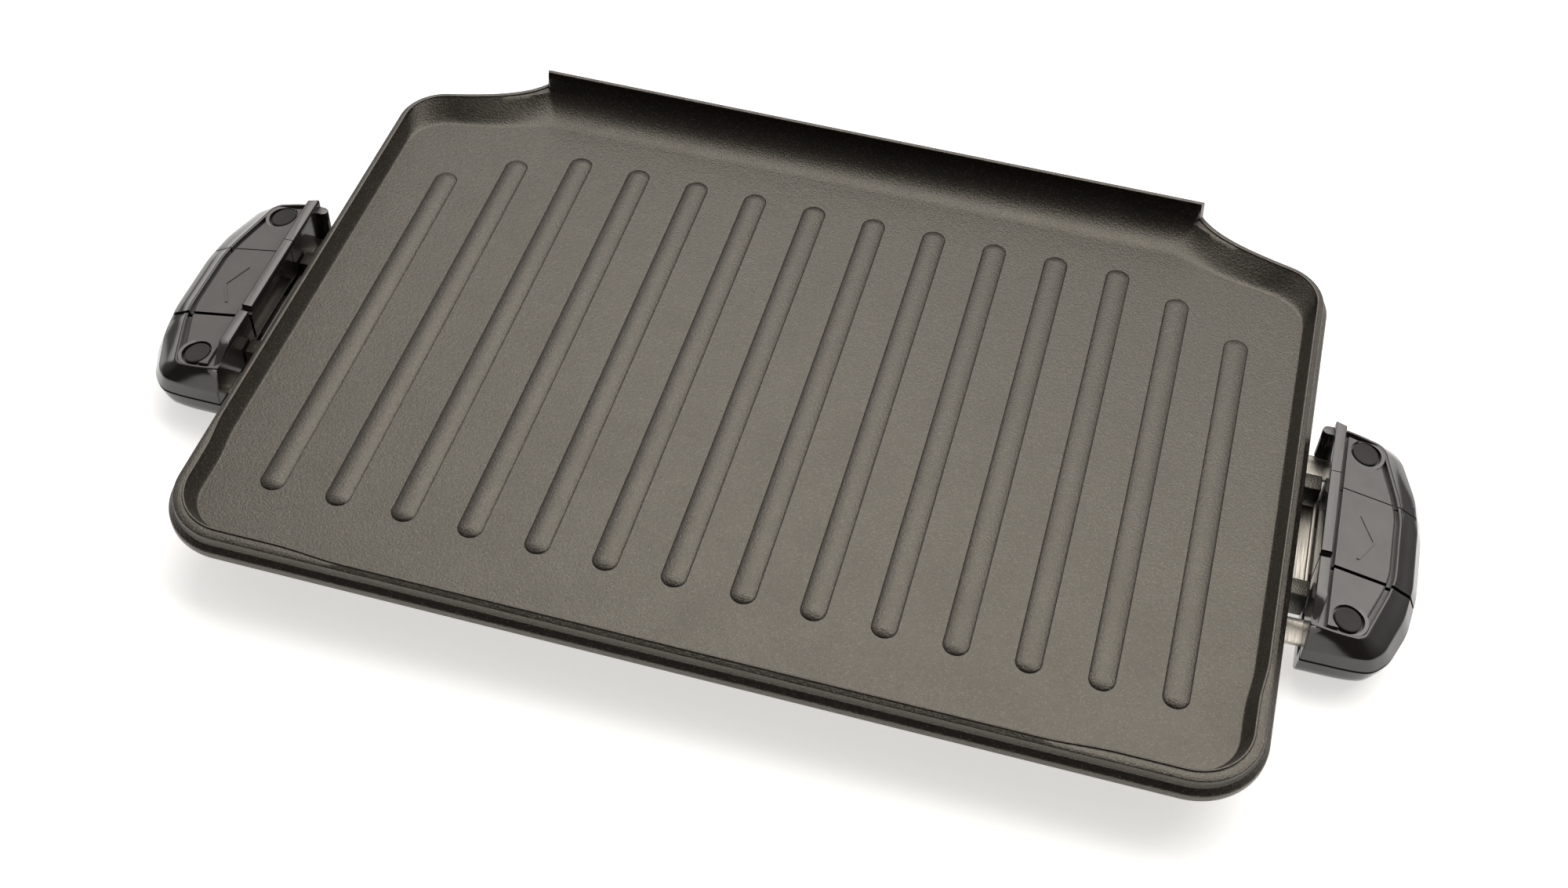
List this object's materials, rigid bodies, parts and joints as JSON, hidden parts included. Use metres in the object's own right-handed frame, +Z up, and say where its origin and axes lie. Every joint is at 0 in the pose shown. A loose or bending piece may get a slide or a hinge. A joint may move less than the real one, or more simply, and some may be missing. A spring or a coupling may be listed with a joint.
{
  "type": "electric griddle",
  "caption": "Ribbed rectangular cast griddle plate with a raised rear splash wall, held between two hand grips with pull-out releases, over a hidden heating element.",
  "frame": {"origin": "on the table top, in the middle of the whole griddle's length and depth", "axes": "+X along the plate towards the right-hand grip, +Y to the rear splash wall, +Z up"},
  "size_m": [0.4872, 0.2722, 0.04],
  "materials": {
    "plate_coat": "matte speckled non-stick coat on cast aluminium",
    "grip_plastic": "satin to gloss moulded black plastic",
    "cap_rubber": "matte dark grey",
    "foot_rubber": "matte black",
    "stainless": "bright brushed stainless steel",
    "zinc": "zinc plated steel",
    "pan_steel": "aluminised sheet steel",
    "sheath": "dark oxidised heating element sheath",
    "phenolic": "matte black phenolic",
    "steatite": "unglazed cream ceramic",
    "pin_brass": "nickel plated brass"
  },
  "bodies": {
    "griddle": {"griddle_plate": "plate_coat", "strap_front": "stainless", "strap_rear": "stainless", "grip_top_left": "grip_plastic", "grip_base_left": "grip_plastic", "slide_spring_left": "zinc", "grip_screw_front_left": "zinc", "screw_cap_front_left": "cap_rubber", "foot_front_left": "foot_rubber", "pan_screw_front_left": "zinc", "grip_screw_rear_left": "zinc", "screw_cap_rear_left": "cap_rubber", "foot_rear_left": "foot_rubber", "pan_screw_rear_left": "zinc", "inlet_pin_left": "pin_brass", "inlet_screw_left": "zinc", "grip_top_right": "grip_plastic", "grip_base_right": "grip_plastic", "slide_spring_right": "zinc", "grip_screw_front_right": "zinc", "screw_cap_front_right": "cap_rubber", "foot_front_right": "foot_rubber", "pan_screw_front_right": "zinc", "grip_screw_rear_right": "zinc", "screw_cap_rear_right": "cap_rubber", "foot_rear_right": "foot_rubber", "pan_screw_rear_right": "zinc", "inlet_pin_right": "pin_brass", "inlet_screw_right": "zinc", "reflector_pan": "pan_steel", "heating_element": "sheath", "element_support_left": "stainless", "support_screw_left": "zinc", "element_support_right": "stainless", "support_screw_right": "zinc", "element_support_inner_left": "stainless", "support_screw_inner_left": "zinc", "element_support_inner_right": "stainless", "support_screw_inner_right": "zinc", "inlet_shroud": "phenolic", "inlet_block": "steatite", "probe_sleeve": "stainless"},
    "release_left": {"release_slide_left": "grip_plastic", "latch_plate_left": "stainless", "latch_screw_left": "zinc"},
    "release_right": {"release_slide_right": "grip_plastic", "latch_plate_right": "stainless", "latch_screw_right": "zinc"}
  },
  "joints": [
    {"name": "release_left_slide", "type": "slide", "parent": "griddle", "child": "release_left", "axis": [-1, 0, 0], "range_m": [0, 0.005], "stiffness_N_per_m": 600, "springref_m": -0.003, "deforming": ["slide_spring_left"]},
    {"name": "release_right_slide", "type": "slide", "parent": "griddle", "child": "release_right", "axis": [1, 0, 0], "range_m": [0, 0.005], "stiffness_N_per_m": 600, "springref_m": -0.003, "deforming": ["slide_spring_right"]}
  ]
}
